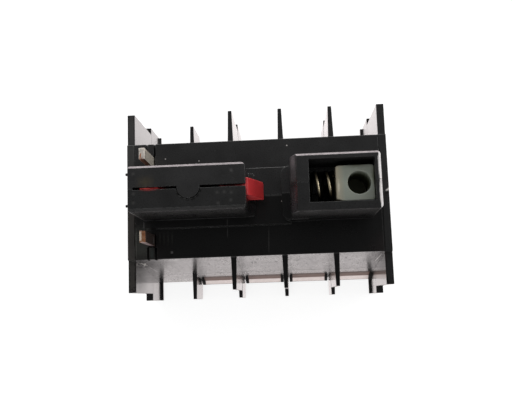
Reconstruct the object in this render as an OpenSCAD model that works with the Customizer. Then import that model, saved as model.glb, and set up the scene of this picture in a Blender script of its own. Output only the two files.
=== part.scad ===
// Auxiliary contact block for a small contactor, lying on its screw face.
// +Z points out of the mating face, +X runs across the five screw columns
// and +Y points to the line side. The origin is the centre of the screw face.

/* [Housing] */
// Width over the two end walls
block_w = 45; // [43:0.5:50]
// Height from the screw face to the mating face
body_h = 24; // [23:0.5:27]
// Height of the terminal base below the two shells
base_h = 9; // [8.5:0.25:10]
// Depth of the mating face
face_d = 20.1; // [19.4:0.1:21]
// Depth over the sloping walls at the screw face
foot_d = 26.6; // [26:0.1:28]
// Depth over the barrier fins of the shells
shell_fin_d = 31.2; // [30:0.1:32.5]
// Depth over the barrier fins of the base
base_fin_d = 33.8; // [32.8:0.1:36]
// Height of both towers above the mating face
tower_h = 12.6; // [12:0.1:14]

/* [Walls] */
// Thickness of the end walls
end_wall_t = 1.3; // [1.1:0.05:1.5]
// Thickness of a barrier fin at its root
fin_t = 1.05; // [0.9:0.05:1.2]
// Thickness of a barrier fin at its tip
fin_tip_t = 0.65; // [0.5:0.05:0.8]
// Step from the mating face down to the top of the fins
fin_drop = 0.5; // [0.2:0.1:1.5]
// Thickness of the mating face plate
face_t = 1.5; // [1.2:0.1:2]
// Thickness of the screw face plate
screw_face_t = 1.2; // [1:0.1:1.4]
// Thickness of the sloping walls
side_wall_t = 1.1; // [0.9:0.05:1.3]
// Thickness of the partitions between the contact chambers of the shells
partition_t = 1; // [0.8:0.05:1.1]
// Thickness of the partitions under the terminal plates
base_partition_t = 1.8; // [1.7:0.05:2.2]
// Shift of the joint between the two shells from the middle
seam_y = 0.15; // [-0.2:0.05:0.3]
// Height of the raised pad that carries the latch tower
pad_h = 1; // [0.6:0.1:1.5]
// Depth of the raised pad
pad_d = 9.8; // [9:0.1:10.4]

/* [Latch] */
// Gap from the end of the block to the latch tower
latch_tower_x = 3; // [2.8:0.1:3.4]
// Gap between the two towers, where the contactor's catch comes in
tower_gap = 6.85; // [6.4:0.05:7.4]
// Depth of the latch tower
latch_tower_d = 7.2; // [6.6:0.1:7.8]
// Width of the slit between the two jaws of the latch tower
slit_w = 0.4; // [0.3:0.05:0.6]
// Radius of the lug that keys one jaw into the other
lug_r = 1.78; // [1.4:0.05:2]
// Thickness of the roof over the latch plate
roof_t = 1.2; // [1:0.1:1.5]
// Thickness of the latch plate
latch_t = 1; // [0.8:0.05:1.2]
// Width of the latch stem
stem_w = 3.4; // [2.8:0.1:3.6]
// Travel of the latch
latch_travel = 1; // [0.6:0.1:1.1]
// Reach of the latch nose past the end of its tower
nose_reach = 2.5; // [2:0.1:2.8]
// Width of the latch nose
nose_w = 2.8; // [2.2:0.1:3.2]
// Height of the latch nose
nose_h = 6; // [5:0.1:6.4]
// Height of the underside of the nose above the mating face
nose_z = 5; // [4.6:0.1:5.4]

/* [Coupling] */
// Gap from the coupling tower to the end of the block
coupling_tower_x = 2.8; // [2.6:0.1:3.2]
// Length of the coupling tower
coupling_tower_l = 14.05; // [13.9:0.05:14.6]
// Depth of the coupling tower
coupling_tower_d = 8.95; // [8.7:0.05:9.4]
// Thickness of the thin walls of the coupling tower
tower_wall_t = 0.95; // [0.8:0.05:1.1]
// Thickness of the load-side wall of the coupling tower
load_wall_t = 1.3; // [1.1:0.05:1.4]
// Thickness of the wall that the coupling spring leans on
spring_wall_t = 2.95; // [2.6:0.05:3.1]
// Width of the bevel on that wall
bevel_w = 1.1; // [0.8:0.1:1.3]
// Length of the coupling slider
slider_l = 5.9; // [5.7:0.1:6.1]
// Depth of the coupling slider
slider_d = 5.6; // [5.2:0.1:6]
// Radius of the bore in the coupling slider
slider_bore_r = 1.82; // [1.5:0.02:1.9]
// Depth of the bore in the coupling slider
slider_bore_h = 7.5; // [6:0.1:8]
// Gap from the top of the tower down to the slider
slider_drop = 1.6; // [1:0.1:2.5]
// Travel of the slider and the contact carrier
travel = 3; // [2.6:0.1:3.1]
// Outer diameter of the coupling spring
coupling_spring_d = 5.2; // [4.6:0.1:5.4]
// Wire diameter of the coupling spring
coupling_wire = 0.45; // [0.35:0.05:0.5]

/* [Contacts] */
// Depth of the contact carrier
carrier_d = 4.8; // [4.4:0.1:5]
// Height of the contact carrier
carrier_h = 7; // [6.6:0.1:7.4]
// Thickness of the carrier's cross webs
web_t = 0.9; // [0.7:0.05:1]
// Length of a contact bridge
bridge_l = 14.4; // [14:0.1:15]
// Height of a contact bridge
bridge_h = 3; // [2.6:0.1:3.2]
// Thickness of a contact bridge
bridge_t = 0.6; // [0.5:0.05:0.7]
// Distance of the contact points from the middle
contact_y = 6; // [5.8:0.1:6.2]
// Radius of a contact rivet
rivet_r = 1.1; // [0.8:0.05:1.2]
// Thickness of a contact rivet's head
rivet_t = 0.45; // [0.35:0.05:0.5]
// Thickness of the terminal plates and fixed contacts
plate_t = 0.8; // [0.6:0.05:0.9]
// Thickness of the coil blades
blade_t = 0.95; // [0.8:0.05:1.1]
// Width of the coil blades
blade_w = 1.9; // [1.6:0.1:2.2]
// Reach of the coil blades above the mating face
blade_h = 7.6; // [6.5:0.1:9]

/* [Terminals] */
// Height of the terminal plates above the screw face
plate_z = 6; // [5.8:0.1:6.2]
// Distance of the terminal screws from the middle
screw_y = 8.2; // [8.1:0.05:8.4]
// Radius of the screw thread
screw_r = 1.45; // [1.2:0.05:1.5]
// Radius of the screw head
screw_head_r = 2.4; // [2.1:0.05:2.5]
// Height of the screw head
screw_head_h = 1.6; // [1.4:0.1:1.8]
// Height of the top of the wire windows above the screw face
window_z = 5.2; // [4.8:0.1:5.4]

/* [Hidden] */
$fn = 48;

eps = 0.01;
// How far a cut runs past the surface that it opens
past = 1;
// Running clearance of a piece that slides in the housing
run = 0.1;
// Clearance of a piece that is laid or plugged into its seat
seat = 0.05;
// Sides of the two rows of terminals: line side and load side
line = 1;
load = -1;

half_w = block_w / 2;
latch_tower_l = block_w - latch_tower_x - tower_gap - coupling_tower_l - coupling_tower_x;
face_y = face_d / 2;
foot_y = foot_d / 2;
top_z = body_h + tower_h;
face_z = body_h - face_t;

columns = 5;
pitch = (block_w - end_wall_t) / columns;
function barrier_x(i) = (i - columns / 2) * pitch;
function column_x(i) = (i - (columns - 1) / 2) * pitch;
// Outside of the sloping wall at height z
function wall_y(z) = face_y + (foot_y - face_y) * (body_h - z) / body_h;

chamber_w = pitch - partition_t;
base_chamber_w = pitch - base_partition_t;
// Narrow strips along the foot of both end walls
strip_w = 0.45;
strip_h = 0.6;
// Groove that marks the root of the end walls in the mating face
root_groove_w = 0.2;
root_groove_d = 0.15;

latch_x0 = -half_w + latch_tower_x;
latch_x1 = latch_x0 + latch_tower_l;
jaw_end_t = 0.75;
jaw_edge_chamfer = 0.5;
jaw_left_r = 0.25;
jaw_right_r = 0.7;
// Chamfer along the outer top edges of both towers
rim_chamfer = 0.35;
// Stubs of the moulding gates at the left end of the latch tower
gate_stub_r = 0.22;
gate_stub_l = 0.35;
gate_stub_y = 2.48;
lug_x = latch_x0 + latch_tower_l * 0.514;
lug_h = 2.2;
shelf_reach = 0.8;
shelf_h = 1.2;

coupling_x1 = half_w - coupling_tower_x;
coupling_x0 = coupling_x1 - coupling_tower_l;
opening_x0 = coupling_x0 + spring_wall_t;
opening_x1 = coupling_x1 - tower_wall_t;
coupling_left_r = 0.5;
coupling_right_r = 0.6;
bevel_slope = 2.6;
flare_w = 1.45;
flare_h = 2.6;
flare_side = 0.1;
rail_h = 5.5;
opening_floor_z = body_h - 0.5;
// Dowels that line up the two shells across the seam
dowel_r = 0.65;
dowel_l = 2.2;
dowel_root = 1;
tower_dowel_x = coupling_x0 + spring_wall_t / 2;
tower_dowel_z = body_h + 0.25 * tower_h;
face_dowel_x = latch_x1 + tower_gap * 0.55;
face_dowel_z = body_h + (pad_h - face_t) / 2;

slider_x1 = opening_x1 - seat;
slider_x0 = slider_x1 - slider_l;
slider_z = top_z - slider_drop;
slider_corner_r = 0.35;
slider_foot_chamfer = 0.9;
slider_bevel_w = 1.15;
slider_bevel_h = 0.4;
// Distance of the bore's centre from the right end of the slider
bore_back = 2.3;
coupling_spring_z = slider_z - coupling_spring_d / 2 - slider_bevel_h - run;
// Pocket in the thick wall that takes the end of the coupling spring
spring_pocket_l = 1.2;
spring_seat_l = 0.6;
peg_root = 0.5;
peg_gap = 0.15;
coupling_turns = 3.7;
coupling_dead_turns = 0.5;
coupling_start = 169;
tongue_l = 2.6;
tongue_d = 3;
tongue_x0 = slider_x0 + (slider_l - tongue_l) / 2;
boss_wall_t = 0.9;

// Share of the free height above the base that is left under the carrier
carrier_share = 5 / 13;
carrier_z = base_h + (face_z - base_h - carrier_h) * carrier_share;
carrier_top = carrier_z + carrier_h;
boss_h = (face_z - carrier_top) * 0.7;
tongue_z = carrier_top - 1.2;
bridge_z = carrier_z + carrier_h / 2;
bridge_window_h = bridge_h + 0.3;
contact_gap = 0.02;
// Space behind a fixed contact, to the wall of its chamber
contact_back = 0.25;
spring_room = 2.3;
contact_spring_r = 1.25;
contact_wire = 0.3;

function is_break(i) = i % 2 == 0;
// Face of a fixed contact that looks at its bridge, with the rivet left out
function fixed_face_x(i) = column_x(i)
    + (chamber_w / 2 - contact_back - plate_t) * (is_break(i) ? 1 : -1);
// Middle of a bridge at rest: a break bridge touches, a make bridge stands off by the travel
function bridge_x(i) = fixed_face_x(i) + (is_break(i)
    ? -(2 * rivet_t + contact_gap + bridge_t / 2)
    : 2 * rivet_t + 3 * contact_gap + bridge_t / 2 + travel);
carrier_x0 = bridge_x(1) - bridge_t / 2 - web_t;
carrier_x1 = bridge_x(columns - 1) + bridge_t / 2 + web_t;

plate_w = 2 * (half_w - end_wall_t - run - column_x(columns - 1));
plate_y0 = 4.8;
plate_y1 = wall_y(plate_z + plate_t) - side_wall_t - 0.15;
tab_w = 2.4;
tab_z = bridge_z + rivet_r + 0.5;

blade_x = -half_w + 4.2;
blade_y = 6.8;
blade_jog_z = base_h + 2;
riser_x1 = column_x(0) + 1.6;
blade_gap = 0.2;
guide_groove_w = 0.35;
guide_groove_d = 0.9;

stem_x0 = latch_x0 + 1.9;
stem_x1 = stem_x0 + stem_w;
latch_top = top_z - roof_t - run;
latch_bottom = body_h + nose_z + 0.5;
// Low stretch of the latch plate, under the lug
saddle_z = latch_top - lug_h - 0.6;
mouth_l = latch_travel + 0.4;
nose_seat = 0.25;
nose_edge = 0.7;
thumb_w = 2.4;
thumb_h = 1.1;
thumb_z = 0.5;
thumb_groove_w = 0.4;
thumb_groove_d = 0.3;
latch_spring_r = 1.4;
latch_wire = 0.3;
latch_spring_drop = 7;
latch_spring_z = body_h - latch_spring_drop;
nib_r = latch_spring_r - latch_wire / 2 - peg_gap;
nib_l = 0.9;

screw_recess = 0.7;
screw_seat_z = screw_recess + screw_head_h;
screw_tip = 1.6;
screw_slot_w = 0.6;
screw_slot_d = 0.8;
screw_hole_gap = 0.3;
clamp_t = 0.8;
clamp_side_gap = 0.25;
clamp_hole_gap = 0.15;
// Lip of a wire clamp, which fills the wire window
lip_z0 = screw_face_t + run;
lip_z1 = window_z - 0.3;

// Closed outline swept along X from x0 to x1: the outline's x is Y, its y is Z
module along_x(x0, x1) {
    translate([x0, 0, 0]) rotate([90, 0, 90]) linear_extrude(x1 - x0) children();
}

// Closed outline in X and Z, swept along Y and centred on y
module along_y(y, width) {
    translate([0, y + width / 2, 0]) rotate([90, 0, 0]) linear_extrude(width) children();
}

module block(x0, x1, y0, y1, z0, z1) {
    translate([x0, y0, z0]) cube([x1 - x0, y1 - y0, z1 - z0]);
}

// Rectangle whose left and right corners have their own radii
module rounded_rect(x0, x1, y0, y1, r0, r1) {
    translate([x0 + r0, y0]) square([x1 - x0 - r0 - r1, y1 - y0]);
    translate([x0, y0 + r0]) square([x1 - x0 - r1, y1 - y0 - 2 * r0]);
    translate([x0 + r0, y0 + r1]) square([x1 - x0 - r0, y1 - y0 - 2 * r1]);
    for (y = [y0 + r0, y1 - r0]) translate([x0 + r0, y]) circle(r0);
    for (y = [y0 + r1, y1 - r1]) translate([x1 - r1, y]) circle(r1);
}

// Section of the sloping body between two heights, drawn inset from its faces
module body_section(z0, z1, inset) {
    polygon([[-wall_y(z0) + inset, z0], [wall_y(z0) - inset, z0],
        [wall_y(z1) - inset, z1], [-wall_y(z1) + inset, z1]]);
}

// Barrier fin that tapers from its root in the body to both of its tips
module fin(x, reach, z0, z1) {
    root_y = face_y - 1.5;
    translate([0, 0, z0]) linear_extrude(z1 - z0)
        polygon([[x - fin_tip_t / 2, -reach], [x + fin_tip_t / 2, -reach],
            [x + fin_t / 2, -root_y], [x + fin_t / 2, root_y],
            [x + fin_tip_t / 2, reach], [x - fin_tip_t / 2, reach],
            [x - fin_t / 2, root_y], [x - fin_t / 2, -root_y]]);
}

// Round wire wound along +X from the origin, with part of a turn laid flat at each end
module coil(r, wire, length, turns, dead, start) {
    sides = 6;
    steps = ceil(turns * 14);
    active = turns - 2 * dead;
    function lift(t) = min(max((t - dead) / active, 0), 1);
    points = [for (i = [0:steps]) let (t = turns * i / steps, a = start + 360 * t,
        x = wire / 2 + (length - wire) * lift(t))
        for (k = [0:sides - 1]) let (b = 360 * k / sides, q = r + wire / 2 * cos(b))
            [x + wire / 2 * sin(b), q * cos(a), q * sin(a)]];
    skin = [for (i = [0:steps - 1]) for (k = [0:sides - 1])
        let (n = (k + 1) % sides)
            [i * sides + k, (i + 1) * sides + k, (i + 1) * sides + n, i * sides + n]];
    first = [for (k = [0:sides - 1]) k];
    last = [for (k = [sides - 1:-1:0]) steps * sides + k];
    polyhedron(points, concat(skin, [first], [last]));
}

// Latch tower: two jaws with chamfered outer edges, rounded right corners and two gate stubs
module latch_tower() {
    load_y = seam_y - latch_tower_d / 2;
    line_y = seam_y + latch_tower_d / 2;
    intersection() {
        translate([0, 0, body_h - eps]) linear_extrude(tower_h + 2 * eps)
            rounded_rect(latch_x0, latch_x1, load_y, line_y, jaw_left_r, jaw_right_r);
        along_x(latch_x0 - past, latch_x1 + past)
            polygon([[load_y, body_h - eps], [line_y, body_h - eps], [line_y, top_z - rim_chamfer],
                [line_y - rim_chamfer, top_z], [load_y + jaw_edge_chamfer, top_z],
                [load_y, top_z - jaw_edge_chamfer]]);
    }
    for (side = [line, load])
        translate([latch_x0 - gate_stub_l, side * gate_stub_y, top_z - 1.5 * gate_stub_r])
            rotate([0, 90, 0]) cylinder(r = gate_stub_r, h = 2 * gate_stub_l);
}

// Raised pad under the latch tower, with the low shelf in front of the latch nose
module pad() {
    block(latch_x0, coupling_x0, -pad_d / 2, pad_d / 2, body_h - eps, body_h + pad_h);
    block(latch_x1 - shelf_reach, latch_x1 + shelf_reach, seam_y - latch_tower_d / 2,
        seam_y + latch_tower_d / 2, body_h, body_h + pad_h + shelf_h);
}

// Coupling tower: bevelled spring wall on the left and a wider foot with round corners
module coupling_tower() {
    load_y = seam_y - coupling_tower_d / 2;
    line_y = seam_y + coupling_tower_d / 2;
    intersection() {
        translate([0, 0, body_h - eps]) linear_extrude(tower_h + eps)
            rounded_rect(coupling_x0, coupling_x1, load_y, line_y, coupling_left_r, coupling_right_r);
        along_y(seam_y, coupling_tower_d + 2 * past)
            polygon([[coupling_x0, body_h - eps], [coupling_x1, body_h - eps],
                [coupling_x1, top_z - rim_chamfer], [coupling_x1 - rim_chamfer, top_z],
                [coupling_x0 + bevel_w, top_z], [coupling_x0, top_z - bevel_slope * bevel_w]]);
        along_x(coupling_x0 - past, coupling_x1 + past)
            polygon([[load_y - past, body_h - eps], [line_y, body_h - eps],
                [line_y, top_z - rim_chamfer], [line_y - rim_chamfer, top_z], [load_y - past, top_z]]);
    }
    translate([0, 0, body_h - eps]) linear_extrude(flare_h)
        rounded_rect(coupling_x0 - flare_w, opening_x0, load_y - flare_side, line_y + flare_side,
            flare_w, flare_side);
}

// Opening of the coupling tower, narrower where its rails guide the slider
module coupling_opening() {
    rail_y = slider_d / 2 + seat;
    block(opening_x0, opening_x1, seam_y - coupling_tower_d / 2 + load_wall_t,
        seam_y + coupling_tower_d / 2 - tower_wall_t, body_h + rail_h, top_z + past);
    block(opening_x0, opening_x1, -rail_y, rail_y, opening_floor_z, top_z + past);
    block(tongue_x0 - travel - run, tongue_x0 + tongue_l + run,
        -tongue_d / 2 - run, tongue_d / 2 + run, face_z - past, body_h);
    translate([opening_x0 - spring_pocket_l, 0, coupling_spring_z]) rotate([0, 90, 0])
        cylinder(r = coupling_spring_d / 2 + run, h = spring_pocket_l + eps);
}

// Room for the latch plate, its head, its stem and its spring
module latch_room() {
    half_t = latch_t / 2 + run;
    y = seam_y;
    block(latch_x0 + jaw_end_t, latch_x1 + past, y - half_t, y + half_t,
        latch_bottom - run, latch_top + run);
    block(latch_x0 + jaw_end_t, latch_x1 + past, y - slit_w / 2, y + slit_w / 2,
        latch_bottom, top_z + past);
    block(latch_x1 - mouth_l, latch_x1 + past, y - nose_w / 2 - run, y + nose_w / 2 + run,
        body_h + nose_z - run, body_h + nose_z + nose_h + run);
    block(stem_x0 - latch_travel - run, stem_x1 + run, y - half_t, y + half_t,
        base_h - past, latch_top);
}

// Slot and guide grooves of one coil blade, through the mating face
module blade_slot(side) {
    slot_x0 = blade_x - blade_t / 2 - blade_gap;
    slot_x1 = blade_x + blade_t / 2 + blade_gap;
    slot_y1 = blade_y + blade_w / 2 + blade_gap;
    mirror([0, side == line ? 0 : 1, 0]) {
        block(slot_x0, slot_x1, blade_y - blade_w / 2 - blade_gap, slot_y1, face_z - past, body_h + past);
        for (x = [slot_x0, slot_x1])
            block(x - guide_groove_w / 2, x + guide_groove_w / 2, slot_y1 - eps, face_y + past,
                body_h - guide_groove_d, body_h + past);
    }
}

// Contact chambers, open towards the base, and the channel that guides the carrier
module shell_chambers() {
    for (i = [0:columns - 1]) {
        x = column_x(i);
        along_x(max(x - chamber_w / 2, -half_w + end_wall_t), min(x + chamber_w / 2, half_w - end_wall_t))
            body_section(base_h - eps, face_z, side_wall_t);
    }
    block(column_x(1), column_x(4), -carrier_d / 2 - run, carrier_d / 2 + run,
        carrier_z - run, carrier_top + run);
    block(tongue_x0 - boss_wall_t - travel - run, column_x(4), -carrier_d / 2 - run, carrier_d / 2 + run,
        carrier_z, face_z);
}

// Both shells as one form, before they are parted along the seam
module shells() {
    difference() {
        union() {
            along_x(-half_w, half_w) body_section(base_h, body_h, 0);
            for (x = [-half_w, half_w - end_wall_t])
                block(x, x + end_wall_t, -shell_fin_d / 2, shell_fin_d / 2, base_h, body_h - fin_drop);
            for (i = [2:columns - 1]) fin(barrier_x(i), shell_fin_d / 2, base_h, body_h - fin_drop);
            pad();
            latch_tower();
            coupling_tower();
        }
        shell_chambers();
        coupling_opening();
        latch_room();
        blade_slot(line);
        blade_slot(load);
        for (x = [-half_w + end_wall_t, half_w - end_wall_t])
            block(x - root_groove_w / 2, x + root_groove_w / 2, -face_y - past, face_y + past,
                body_h - root_groove_d, body_h + past);
    }
    spring_pegs();
}

// Peg that the coupling spring sits over, and the nib of the latch spring
module spring_pegs() {
    translate([opening_x0 - spring_pocket_l - peg_root, 0, coupling_spring_z]) rotate([0, 90, 0])
        cylinder(r = coupling_spring_d / 2 - coupling_wire - peg_gap, h = peg_root + spring_seat_l);
    translate([-half_w + end_wall_t - peg_root, seam_y, latch_spring_z]) rotate([0, 90, 0])
        cylinder(r = nib_r, h = peg_root + nib_l);
}

// Dowels across the seam, grown by a clearance where they are the holes
module shell_dowels(grow) {
    for (place = [[tower_dowel_x, tower_dowel_z], [face_dowel_x, face_dowel_z]])
        translate([place[0], seam_y + dowel_root, place[1]]) rotate([90, 0, 0])
            cylinder(r = dowel_r + grow, h = dowel_root + dowel_l + grow);
}

// Half-round lug at the top of the latch tower, grown by a clearance
module jaw_lug(grow) {
    r = lug_r + grow;
    intersection() {
        translate([lug_x, seam_y, top_z - lug_h - grow]) cylinder(r = r, h = lug_h + grow + eps);
        block(lug_x - r, lug_x + r, seam_y - r, seam_y + slit_w, top_z - lug_h - grow, top_z + past);
    }
}

module shell_line_side() {
    color([0.13, 0.13, 0.135]) {
        intersection() {
            shells();
            block(-half_w - past, half_w + past, seam_y, shell_fin_d, 0, top_z + past);
        }
        intersection() {
            jaw_lug(0);
            block(-half_w, half_w, -half_w, half_w, 0, top_z);
        }
        shell_dowels(0);
    }
}

module shell_load_side() {
    color([0.12, 0.12, 0.125]) difference() {
        intersection() {
            shells();
            block(-half_w - past, half_w + past, -shell_fin_d, seam_y, 0, top_z + past);
        }
        jaw_lug(run);
        shell_dowels(run);
    }
}

// Terminal base: sloping tray with a barrier fin at each column and a screw hole per terminal
module terminal_base() {
    color([0.14, 0.14, 0.14]) difference() {
        union() {
            along_x(-half_w, half_w) body_section(0, base_h, 0);
            for (x = [-half_w, half_w - end_wall_t])
                block(x, x + end_wall_t, -base_fin_d / 2, base_fin_d / 2, 0, base_h);
            for (i = [1:columns - 1]) fin(barrier_x(i), base_fin_d / 2, 0, base_h);
            for (x = [-half_w + end_wall_t - eps, half_w - end_wall_t - strip_w + eps])
                block(x, x + strip_w, -base_fin_d / 2, base_fin_d / 2, 0, strip_h);
        }
        for (i = [0:columns - 1]) {
            x = column_x(i);
            along_x(x - base_chamber_w / 2, x + base_chamber_w / 2)
                body_section(screw_face_t, base_h + eps, side_wall_t);
            along_x(max(x - chamber_w / 2, -half_w + end_wall_t),
                min(x + chamber_w / 2, half_w - end_wall_t))
                body_section(plate_z, base_h + eps, side_wall_t);
            for (side = [line, load])
                translate([x, side * screw_y, -past])
                    cylinder(r = screw_head_r + screw_hole_gap, h = screw_face_t + 2 * past);
        }
        for (i = [1:columns - 1])
            block(column_x(i) - base_chamber_w / 2, column_x(i) + base_chamber_w / 2,
                -foot_y - past, foot_y + past, screw_face_t, window_z);
        block(stem_x0 - latch_travel - run, stem_x1 + run, seam_y - thumb_w / 2 - run,
            seam_y + thumb_w / 2 + run, -past, thumb_z + thumb_h + run);
        block(stem_x0 - latch_travel - run, stem_x1 + run, seam_y - latch_t / 2 - run,
            seam_y + latch_t / 2 + run, 0, base_h + past);
    }
}

// Terminal plate of one column, with its tapped hole
module terminal_plate(x, side) {
    mirror([0, side == line ? 0 : 1, 0]) difference() {
        block(x - plate_w / 2, x + plate_w / 2, plate_y0, plate_y1, plate_z, plate_z + plate_t);
        translate([x, screw_y, plate_z - past]) cylinder(r = screw_r + seat, h = plate_t + 2 * past);
    }
}

// Terminal plate with an upturned tab that carries the fixed contact
module fixed_contact(i, side) {
    x0 = is_break(i) ? fixed_face_x(i) : fixed_face_x(i) - plate_t;
    color([0.72, 0.55, 0.3]) {
        terminal_plate(column_x(i), side);
        mirror([0, side == line ? 0 : 1, 0])
            block(x0, x0 + plate_t, contact_y - tab_w / 2, contact_y + tab_w / 2,
                plate_z + plate_t / 2, tab_z);
    }
}

module fixed_contact_rivets() {
    color([0.85, 0.85, 0.83]) for (i = [1:columns - 1]) for (side = [line, load])
        translate([is_break(i) ? fixed_face_x(i) - rivet_t : fixed_face_x(i), side * contact_y, bridge_z])
            rotate([0, 90, 0]) cylinder(r = rivet_r, h = rivet_t);
}

// Coil terminal: terminal plate, riser and jog, and the blade that stands out of the face
module coil_terminal(side) {
    x = column_x(0);
    riser_x0 = blade_x - blade_t / 2;
    color([0.8, 0.5, 0.3]) {
        terminal_plate(x, side);
        mirror([0, side == line ? 0 : 1, 0]) {
            block(riser_x0, riser_x1, plate_y0, plate_y0 + plate_t, plate_z, blade_jog_z + plate_t);
            block(riser_x0, riser_x0 + blade_t, plate_y0, blade_y + blade_w / 2,
                blade_jog_z, blade_jog_z + plate_t);
            block(riser_x0, riser_x0 + blade_t, blade_y - blade_w / 2, blade_y + blade_w / 2,
                blade_jog_z, body_h + blade_h);
        }
    }
}

// Terminal screw, head down, with a cross slot in the head
module terminal_screw(x, y) {
    translate([x, y, screw_recess]) difference() {
        union() {
            cylinder(r = screw_r, h = plate_z + plate_t + screw_tip - screw_recess);
            cylinder(r = screw_head_r, h = screw_head_h);
        }
        for (turn = [0, 90]) rotate(turn)
            block(-screw_head_r * 0.7, screw_head_r * 0.7, -screw_slot_w / 2, screw_slot_w / 2,
                -past, screw_slot_d);
    }
}

module terminal_screws() {
    color([0.75, 0.74, 0.7]) for (i = [0:columns - 1]) for (side = [line, load])
        terminal_screw(column_x(i), side * screw_y);
}

// Clamp plate under the screw head, with a lip that closes the wire window
module wire_clamp(i, side) {
    x = column_x(i);
    clamp_w = base_chamber_w - 2 * clamp_side_gap;
    y0 = screw_y - screw_head_r;
    y1 = wall_y(lip_z1) - (i == 0 ? side_wall_t + run : run);
    color([0.62, 0.47, 0.36]) mirror([0, side == line ? 0 : 1, 0]) difference() {
        union() {
            block(x - clamp_w / 2, x + clamp_w / 2, y0, y1, screw_seat_z, screw_seat_z + clamp_t);
            block(x - clamp_w / 2, x + clamp_w / 2, y1 - clamp_t, y1, lip_z0, lip_z1);
        }
        translate([x, screw_y, screw_seat_z - past])
            cylinder(r = screw_r + clamp_hole_gap, h = clamp_t + 2 * past);
    }
}

// Red latch: plate in the seam with a bevelled nose, and a stem down to its thumb pad
module latch_slide() {
    nose_bottom = body_h + nose_z;
    nose_x0 = latch_x1 - nose_seat;
    nose_x1 = latch_x1 + nose_reach;
    plate_x1 = nose_x0 + 0.8 * nose_seat;
    // The plate rises into the slit at both ends and dips between them, under the lug
    left_room = lug_x - lug_r - stem_x0;
    right_room = plate_x1 - lug_x - lug_r;
    left_x1 = stem_x0 + 0.6 * left_room;
    right_x0 = plate_x1 - 0.57 * right_room;
    color([0.78, 0.13, 0.16]) {
        along_y(seam_y, latch_t)
            polygon([[stem_x0, thumb_z + thumb_h], [stem_x1, thumb_z + thumb_h],
                [stem_x1, latch_bottom], [plate_x1, latch_bottom], [plate_x1, latch_top],
                [right_x0, latch_top], [right_x0 - 0.1 * right_room, saddle_z],
                [left_x1 + 0.1 * left_room, saddle_z], [left_x1, latch_top], [stem_x0, latch_top]]);
        along_y(seam_y, nose_w)
            polygon([[nose_x0, nose_bottom], [nose_x1, nose_bottom],
                [nose_x1, nose_bottom + nose_edge], [nose_x0 + 2 * nose_seat, nose_bottom + nose_h],
                [nose_x0, nose_bottom + nose_h]]);
        thumb_pad();
        translate([stem_x0 - nib_l, seam_y, latch_spring_z]) rotate([0, 90, 0])
            cylinder(r = nib_r, h = nib_l + latch_t / 2);
    }
}

// Grooved pad at the foot of the latch stem, for a thumb nail or a screwdriver
module thumb_pad() {
    difference() {
        block(stem_x0, stem_x1, seam_y - thumb_w / 2, seam_y + thumb_w / 2,
            thumb_z, thumb_z + thumb_h + eps);
        for (k = [1:3]) {
            x = stem_x0 + k * stem_w / 4;
            block(x - thumb_groove_w / 2, x + thumb_groove_w / 2, seam_y - thumb_w, seam_y + thumb_w,
                0, thumb_z + thumb_groove_d);
        }
    }
}

module latch_spring() {
    x0 = -half_w + end_wall_t + seat;
    color([0.7, 0.7, 0.68]) translate([x0, seam_y, latch_spring_z])
        coil(latch_spring_r, latch_wire, stem_x0 - x0 - seat, 4.5, 0, 0);
}

// Ivory slider: bored block, bevelled towards its spring, with a tongue into the carrier
module coupling_slider() {
    half_d = slider_d / 2;
    floor_z = opening_floor_z + seat;
    c = slider_foot_chamfer;
    bore_x = slider_x1 - bore_back;
    color([0.8, 0.81, 0.72]) difference() {
        union() {
            translate([0, 0, floor_z]) linear_extrude(slider_z - floor_z) difference() {
                rounded_rect(slider_x0, slider_x1, -half_d, half_d, slider_corner_r, slider_corner_r);
                polygon([[slider_x0 - past, -half_d - past], [slider_x0 + 2 * c, -half_d - past],
                    [slider_x0 + c, -half_d], [slider_x0, slider_corner_r - half_d],
                    [slider_x0 - past, slider_corner_r - half_d]]);
            }
            block(tongue_x0, tongue_x0 + tongue_l, -tongue_d / 2, tongue_d / 2, tongue_z, floor_z + eps);
        }
        translate([bore_x, 0, slider_z - slider_bore_h])
            cylinder(r = slider_bore_r, h = slider_bore_h + past);
        along_y(0, slider_d + 2 * past)
            polygon([[slider_x0 - past, slider_z - slider_bevel_h], [slider_x0, slider_z - slider_bevel_h],
                [slider_x0 + slider_bevel_w, slider_z], [slider_x0 + slider_bevel_w, slider_z + past],
                [slider_x0 - past, slider_z + past]]);
    }
}

module coupling_spring() {
    x0 = opening_x0 - spring_pocket_l + seat;
    color([0.72, 0.66, 0.5]) translate([x0, 0, coupling_spring_z])
        coil((coupling_spring_d - coupling_wire) / 2, coupling_wire, slider_x0 - x0 - seat,
            coupling_turns, coupling_dead_turns, coupling_start);
}

// Carrier: bar with a window for each bridge and its spring, and a socket for the tongue
module contact_carrier() {
    half_d = carrier_d / 2;
    color([0.3, 0.29, 0.27]) difference() {
        union() {
            block(carrier_x0, carrier_x1, -half_d, half_d, carrier_z, carrier_top);
            block(tongue_x0 - boss_wall_t, tongue_x0 + tongue_l + boss_wall_t, -half_d, half_d,
                carrier_top - eps, carrier_top + boss_h);
        }
        for (i = [1:columns - 1]) {
            x0 = bridge_x(i) - bridge_t / 2 - (is_break(i) ? spring_room : seat);
            x1 = bridge_x(i) + bridge_t / 2 + (is_break(i) ? seat : spring_room);
            block(x0, x1, -half_d - past, half_d + past, bridge_z - bridge_window_h / 2,
                bridge_z + bridge_window_h / 2);
        }
        block(tongue_x0 - seat, tongue_x0 + tongue_l + seat, -tongue_d / 2 - seat, tongue_d / 2 + seat,
            tongue_z - seat, carrier_top + boss_h + past);
    }
}

module contact_bridge(i) {
    color([0.75, 0.5, 0.3])
        block(bridge_x(i) - bridge_t / 2, bridge_x(i) + bridge_t / 2, -bridge_l / 2, bridge_l / 2,
            bridge_z - bridge_h / 2, bridge_z + bridge_h / 2);
}

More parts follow.
